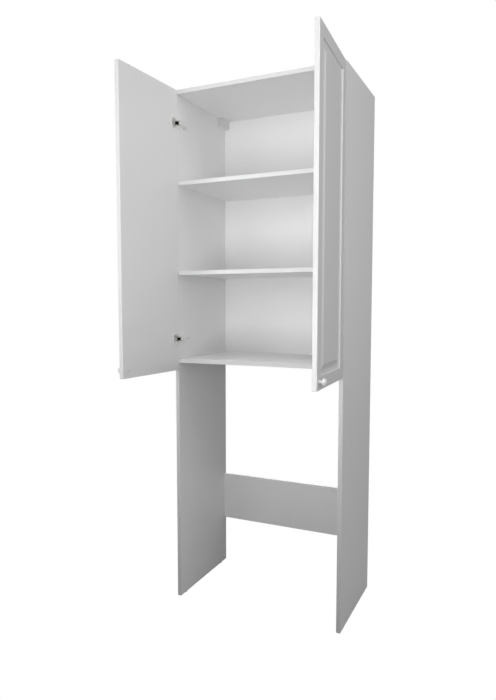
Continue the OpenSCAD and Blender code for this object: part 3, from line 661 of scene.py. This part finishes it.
def fastener_tree():
    """The node tree that sets a turned rod on every point it is given."""
    tree = bpy.data.node_groups.new("turned_fastener", "GeometryNodeTree")
    sockets = tree.interface
    sockets.new_socket("Points", in_out="INPUT", socket_type="NodeSocketGeometry")
    for name, value in FASTENER_INPUTS:
        sockets.new_socket(name, in_out="INPUT", socket_type="NodeSocketFloat").default_value = value
    sockets.new_socket("Sides", in_out="INPUT", socket_type="NodeSocketInt").default_value = 24
    sockets.new_socket("Seed", in_out="INPUT", socket_type="NodeSocketInt").default_value = 1
    sockets.new_socket("Material", in_out="INPUT", socket_type="NodeSocketMaterial")
    sockets.new_socket("Geometry", in_out="OUTPUT", socket_type="NodeSocketGeometry")
    given = add(tree, "NodeGroupInput").outputs

    def math_of(operation, a, b):
        return add(tree, "ShaderNodeMath", {0: a, 1: b}, operation=operation).outputs[0]

    def metres(name):
        return math_of("MULTIPLY", given[name], MM)

    head_r = math_of("MULTIPLY", metres("Head Diameter"), 0.5)
    shank_r = math_of("MULTIPLY", metres("Shank Diameter"), 0.5)
    point_r = math_of("MULTIPLY", metres("Point Diameter"), 0.5)
    edge, head_h, length = metres("Head Edge"), metres("Head Height"), metres("Length")
    stations = [(0.0, math_of("SUBTRACT", head_r, edge)), (edge, head_r), (head_h, head_r),
                (math_of("ADD", head_h, TIGHT * MM), shank_r),
                (math_of("SUBTRACT", length, metres("Point Length")), shank_r), (length, point_r)]
    index = add(tree, "GeometryNodeInputIndex").outputs["Index"]
    heights = add(tree, "GeometryNodeIndexSwitch", {"Index": index}, data_type="FLOAT")
    radii = add(tree, "GeometryNodeIndexSwitch", {"Index": index}, data_type="FLOAT")
    for switch, column in ((heights, 0), (radii, 1)):
        while len(switch.index_switch_items) < len(stations):
            switch.index_switch_items.new()
        for i, station in enumerate(stations):
            if isinstance(station[column], bpy.types.NodeSocket):
                tree.links.new(station[column], switch.inputs[str(i)])
            else:
                switch.inputs[str(i)].default_value = station[column]
    down = math_of("MULTIPLY", heights.outputs["Output"], -1.0)
    place = add(tree, "ShaderNodeCombineXYZ", {"Z": down})
    line = add(tree, "GeometryNodeMeshLine", {"Count": len(stations)})
    stretched = add(tree, "GeometryNodeSetPosition",
                    {"Geometry": line.outputs["Mesh"], "Position": place.outputs["Vector"]})
    rail = add(tree, "GeometryNodeMeshToCurve", {"Mesh": stretched.outputs["Geometry"]})
    half_sides = add(tree, "ShaderNodeMath", {0: given["Sides"], 1: 2.0}, operation="DIVIDE").outputs[0]
    valley = math_of("SUBTRACT", 1.0, given["Flute Depth"])
    outline = add(tree, "GeometryNodeCurveStar",
                  {"Points": half_sides, "Inner Radius": valley, "Outer Radius": 1.0, "Twist": 0.0})
    rod = add(tree, "GeometryNodeCurveToMesh",
              {"Curve": rail.outputs["Curve"], "Profile Curve": outline.outputs["Curve"],
               "Scale": radii.outputs["Output"], "Fill Caps": True})
    slots = add(tree, "GeometryNodeJoinGeometry")
    deep = math_of("MULTIPLY", metres("Recess Depth"), 2.0)
    for x, y in (("Recess Length", "Recess Width"), ("Recess Width", "Recess Length")):
        size = add(tree, "ShaderNodeCombineXYZ", {"X": metres(x), "Y": metres(y), "Z": deep})
        bar = add(tree, "GeometryNodeMeshCube", {"Size": size.outputs["Vector"]})
        tree.links.new(bar.outputs["Mesh"], slots.inputs["Geometry"])
    cut = add(tree, "GeometryNodeMeshBoolean", {"Mesh 1": rod.outputs["Mesh"], "Self Intersection": True},
              operation="DIFFERENCE", solver="EXACT")
    tree.links.new(slots.outputs["Geometry"], cut.inputs["Mesh 2"])
    has_cross = add(tree, "FunctionNodeCompare", {"A": given["Recess Depth"], "B": 0.0},
                    data_type="FLOAT", operation="GREATER_THAN")
    rod_or_screw = add(tree, "GeometryNodeSwitch",
                       {"Switch": has_cross.outputs["Result"], "False": rod.outputs["Mesh"],
                        "True": cut.outputs["Mesh"]}, input_type="GEOMETRY")
    axis = add(tree, "GeometryNodeInputNamedAttribute", {"Name": "axis"}, data_type="FLOAT_VECTOR")
    aim = add(tree, "FunctionNodeAlignRotationToVector", {"Vector": axis.outputs["Attribute"]}, axis="Z")
    spin = add(tree, "FunctionNodeRandomValue", {"Seed": given["Seed"]}, data_type="FLOAT")
    spin.inputs[3].default_value = math.pi
    about = add(tree, "FunctionNodeAxisAngleToRotation", {"Axis": (0, 0, 1), "Angle": spin.outputs[1]})
    turned = add(tree, "FunctionNodeRotateRotation",
                 {"Rotation": aim.outputs["Rotation"], "Rotate By": about.outputs["Rotation"]},
                 rotation_space="LOCAL")
    set_out = add(tree, "GeometryNodeInstanceOnPoints",
                  {"Points": given["Points"], "Instance": rod_or_screw.outputs["Output"],
                   "Rotation": turned.outputs["Rotation"]})
    real = add(tree, "GeometryNodeRealizeInstances", {"Geometry": set_out.outputs["Instances"]})
    painted = add(tree, "GeometryNodeSetMaterial",
                  {"Geometry": real.outputs["Geometry"], "Material": given["Material"]})
    add(tree, "NodeGroupOutput", {"Geometry": painted.outputs["Geometry"]})
    return tree


fasteners = fastener_tree()
print(fasteners.name, "nodes:", len(fasteners.nodes))

# %% [markdown]
# The tree only needs points. For each part that holds fasteners, one point is set at the middle of every
# head, the modifier gets the sizes of that kind, and the result is turned into a plain mesh. Lengths come
# from the frame. Values that aren't given keep the tree's own.

# %% Set out the fasteners
def set_out(part, name, slot, material, seed, **sizes):
    """Replaces a part's solids with rods from the fastener tree, one on each of their lines."""
    lines = [turned_line(points) for points in solids(part)]
    mesh = bpy.data.meshes.new(name + "_points")
    mesh.from_pydata([head for head, _, _ in lines], [], [])
    axis = mesh.attributes.new("axis", "FLOAT_VECTOR", "POINT")
    for i, (_, out, _) in enumerate(lines):
        axis.data[i].vector = out
    carrier = bpy.data.objects.new(name + "_points", mesh)
    scene.collection.objects.link(carrier)
    modifier = carrier.modifiers.new("fasteners", "NODES")
    modifier.node_group = fasteners
    values = {"Length": min(length for _, _, length in lines) / MM, "Seed": seed, "Material": material}
    values.update({key.replace("_", " "): value for key, value in sizes.items()})
    for item in fasteners.interface.items_tree:
        if item.in_out == "INPUT" and item.name in values:
            modifier[item.identifier] = values[item.name]
    made = bpy.data.meshes.new_from_object(carrier.evaluated_get(bpy.context.evaluated_depsgraph_get()))
    made.name = name
    bpy.data.objects.remove(carrier)
    bm = bmesh.new()
    bm.from_mesh(made)
    bmesh.ops.remove_doubles(bm, verts=bm.verts, dist=WELD * MM)
    bmesh.ops.recalc_face_normals(bm, faces=bm.faces[:])
    bm.to_mesh(made)
    bm.free()
    piece = place_piece(made, name, [part], [])
    low = [round(min(v.co[k] for v in made.vertices) / MM, 1) for k in range(3)]
    print(name, len(lines), "pieces,", round(values["Length"], 1), "mm long, lowest corner", low)
    return piece


for hand in ("left", "right"):
    set_out(hand + "_cup_screws", hand + "_countersunk_screws", "nickel_steel", nickel, 3,
            Head_Diameter=7.0, Head_Height=1.0, Head_Edge=0.35, Shank_Diameter=3.5, Point_Length=3.5,
            Recess_Length=4.0, Recess_Width=0.9, Recess_Depth=0.7)
    set_out(hand + "_knob_screw", hand + "_machine_screw", "zinc_plated", zinc, 5,
            Head_Diameter=8.0, Head_Height=1.8, Head_Edge=0.7, Shank_Diameter=3.9, Point_Length=0.8,
            Point_Diameter=3.0, Recess_Length=4.6, Recess_Width=1.1, Recess_Depth=1.2)
    set_out(hand + "_cup_pins", hand + "_pivot_pins", "zinc_plated", zinc, 7,
            Head_Diameter=2.5, Head_Height=0.6, Head_Edge=0.3, Shank_Diameter=2.5, Point_Length=0.3,
            Point_Diameter=1.9, Recess_Depth=0.0)
set_out("hinge_plate_screws", "hinge_plate_wood_screws", "nickel_steel", nickel, 11,
        Head_Diameter=7.5, Head_Height=1.8, Head_Edge=0.6, Shank_Diameter=3.9, Point_Length=4.0,
        Recess_Length=4.6, Recess_Width=1.05, Recess_Depth=1.1)
set_out("hinge_arm_screws", "hinge_adjusting_screws", "nickel_steel", nickel, 13,
        Head_Diameter=7.0, Head_Height=1.6, Head_Edge=0.4, Shank_Diameter=5.0, Point_Length=0.6,
        Point_Diameter=4.2, Recess_Length=4.6, Recess_Width=1.1, Recess_Depth=1.1)
set_out("bracket_screws", "bracket_wood_screws", "zinc_plated", zinc, 17,
        Head_Diameter=7.0, Head_Height=1.6, Head_Edge=0.6, Shank_Diameter=3.5, Point_Length=4.0,
        Recess_Length=4.2, Recess_Width=1.0, Recess_Depth=1.0)
set_out("back_panel_nails", "panel_pins", "zinc_plated", zinc, 19,
        Head_Diameter=3.6, Head_Height=0.8, Head_Edge=0.25, Shank_Diameter=1.5, Point_Length=2.0,
        Point_Diameter=0.2, Sides=16, Recess_Depth=0.0)
set_out("glide_nails", "glide_pins", "zinc_plated", zinc, 23,
        Head_Diameter=5.0, Head_Height=1.0, Head_Edge=0.3, Shank_Diameter=2.0, Point_Length=2.5,
        Point_Diameter=0.2, Sides=16, Recess_Depth=0.0)
set_out("shelf_pins", "steel_shelf_pins", "nickel_steel", nickel, 29,
        Head_Diameter=5.0, Head_Height=2.0, Head_Edge=0.6, Shank_Diameter=5.0, Point_Length=0.6,
        Point_Diameter=3.8, Recess_Depth=0.0)
set_out("dowels", "fluted_beech_dowels", "beech", beech, 31,
        Head_Diameter=8.0, Head_Height=2.0, Head_Edge=1.0, Shank_Diameter=8.0, Point_Length=1.0,
        Point_Diameter=6.0, Flute_Depth=0.06, Sides=40, Recess_Depth=0.0)

# %% [markdown]
# ## Hinges, cams and the other fittings
# These parts already have their real shapes in the frame: pressed plates, riveted links, drawn cups and
# die-cast cams. What the frame lacks is the small round that pressing, casting or moulding leaves on every
# edge, and that is where metal catches light. A copy of each part gets it, with a radius to suit how the
# part is made: about an eighth of a millimetre on thin sheet, more on castings and mouldings.

# %% Ease the pressed, cast and moulded fittings
def fitting(part, name, material, radius):
    """A copy of a part with its sharp edges eased by a radius in mm."""
    bm = merged_copy(part)
    edges = [e for e in bm.edges if len(e.link_faces) == 2 and e.calc_face_angle() > CREASE]
    ease(bm, edges, radius, 1)
    bmesh.ops.remove_doubles(bm, verts=bm.verts, dist=WELD * MM)
    piece = finish_piece(bm, name, [part], [material])
    print(name, "faces:", len(piece.data.polygons))


SHEET_EASE = 0.12
LINK_EASE = 0.15
CAST_EASE = 0.25
MOULD_EASE = 0.4
fitting("hinge_plates", "pressed_hinge_plates", nickel, CAST_EASE)
fitting("hinge_arms", "pressed_hinge_arms", nickel, SHEET_EASE)
fitting("hinge_arm_pins", "riveted_arm_pins", zinc, SHEET_EASE)
fitting("cam_locks", "die_cast_cams", cast_zinc, CAST_EASE)
fitting("cam_bolts", "steel_cam_bolts", zinc, SHEET_EASE)
fitting("glides", "moulded_glides", moulded, MOULD_EASE)
fitting("wall_brackets", "steel_wall_brackets", zinc, CAST_EASE)
fitting("bracket_covers", "moulded_bracket_covers", moulded, MOULD_EASE)
for hand in ("left", "right"):
    # the links take the near-black finish that also paints the hinge's shade
    fitting(hand + "_outer_links", hand + "_bent_outer_links", link_black_and_painted_shade, LINK_EASE)
    fitting(hand + "_inner_links", hand + "_bent_inner_links", link_black_and_painted_shade, LINK_EASE)
    fitting(hand + "_hinge_cups", hand + "_drawn_hinge_cups", nickel, SHEET_EASE)
    fitting(hand + "_door_bumpers", hand + "_soft_door_pads", pad_rubber, MOULD_EASE)

# %% [markdown]
# ## Floor, light and camera
# The rack stands on a plain pale floor in an even studio. Outside light is a bright room: white to the
# eye, weaker as a lamp, so that the sides of the boards keep their own tones. Large soft lamps stand above
# and to the right. Three weaker lamps with narrowed beams reach into the cabinet: from the front, from the
# left, and from low down for the undersides of the shelves. One more lamp stands behind, for the back.

# %% Floor and room
FLOOR_SIZE = 14.0
ROOM_LIGHT = 0.23
floor_mesh = bpy.data.meshes.new("studio_floor")
half = FLOOR_SIZE / 2
corners = [(-half, -half, 0), (half, -half, 0), (half, half, 0), (-half, half, 0)]
floor_mesh.from_pydata(corners, [], [(0, 1, 2, 3)])
floor = bpy.data.objects.new("studio_floor", floor_mesh)
scene.collection.objects.link(floor)
floor_paint = bpy.data.materials.new("matt_studio_floor")
floor_paint.use_nodes = True
tree = floor_paint.node_tree
tree.nodes.clear()
ray = add(tree, "ShaderNodeLightPath")
matt = add(tree, "ShaderNodeBsdfDiffuse", {"Color": linear("8C8C8C")})
glow = add(tree, "ShaderNodeEmission", {"Color": linear("FFFFFF"), "Strength": 1.0})
seen = add(tree, "ShaderNodeMixShader", {0: ray.outputs["Is Camera Ray"], 1: matt.outputs["BSDF"],
                                         2: glow.outputs["Emission"]})
add(tree, "ShaderNodeOutputMaterial", {"Surface": seen.outputs["Shader"]})
floor_mesh.materials.append(floor_paint)

room = bpy.data.worlds.new("bright_room")
scene.world = room
room.use_nodes = True
tree = room.node_tree
tree.nodes.clear()
ray = add(tree, "ShaderNodeLightPath")
dim = add(tree, "ShaderNodeBackground", {"Color": linear("FFFFFF"), "Strength": ROOM_LIGHT})
white = add(tree, "ShaderNodeBackground", {"Color": linear("FFFFFF"), "Strength": 1.0})
both = add(tree, "ShaderNodeMixShader", {0: ray.outputs["Is Camera Ray"], 1: dim.outputs["Background"],
                                         2: white.outputs["Background"]})
add(tree, "ShaderNodeOutputWorld", {"Surface": both.outputs["Shader"]})
scene.view_settings.view_transform = "Standard"


def lamp(name, place, target, size, power, spread=180):
    """A square soft lamp, in metres and watts; a spread in degrees narrows its beam."""
    data = bpy.data.lights.new(name, "AREA")
    data.shape, data.size, data.energy = "SQUARE", size, power
    data.spread = math.radians(spread)
    light = bpy.data.objects.new(name, data)
    light.matrix_world = (Matrix.Translation(Vector(place))
                          @ (Vector(target) - Vector(place)).to_track_quat("-Z", "Y").to_matrix().to_4x4())
    scene.collection.objects.link(light)
    print(name, "at", place, "power", power)


lamp("top_lamp", (0, -0.9, 3.6), (0, 0, 1.0), 1.6, 21)
lamp("right_lamp", (3.0, -0.9, 2.2), (0, 0, 1.4), 3.0, 36)
lamp("front_lamp", (0.9, -2.3, 1.9), (0, 0.2, 1.6), 1.0, 1.7, 60)
lamp("left_lamp", (-1.3, -2.6, 1.9), (0, 0.2, 1.5), 1.0, 3.2, 80)
lamp("low_lamp", (0.1, -2.4, 0.75), (0, 0.15, 1.6), 1.0, 3.7, 75)
lamp("back_lamp", (-1.2, 3.0, 2.0), (-0.1, 0.4, 1.2), 1.6, 45)

# %% [markdown]
# The camera stands at eye level, to the right of the rack and about two metres in front of it, and looks
# slightly down. That is close for a piece this tall, so the nearer edges lean away from each other.

# %% Camera
EYE = (0.9184, -2.0463, 1.1868)
LOOK = (-0.4230, 0.9029, -0.0765)
LENS = 30.806
camera_data = bpy.data.cameras.new("camera")
camera_data.lens = LENS
camera_data.sensor_width = 36
camera_data.clip_start = 0.05
camera_data.clip_end = 60
camera = bpy.data.objects.new("camera", camera_data)
camera.matrix_world = (Matrix.Translation(Vector(EYE))
                       @ Vector(LOOK).to_track_quat("-Z", "Y").to_matrix().to_4x4())
scene.collection.objects.link(camera)
scene.camera = camera
print("camera at", EYE)
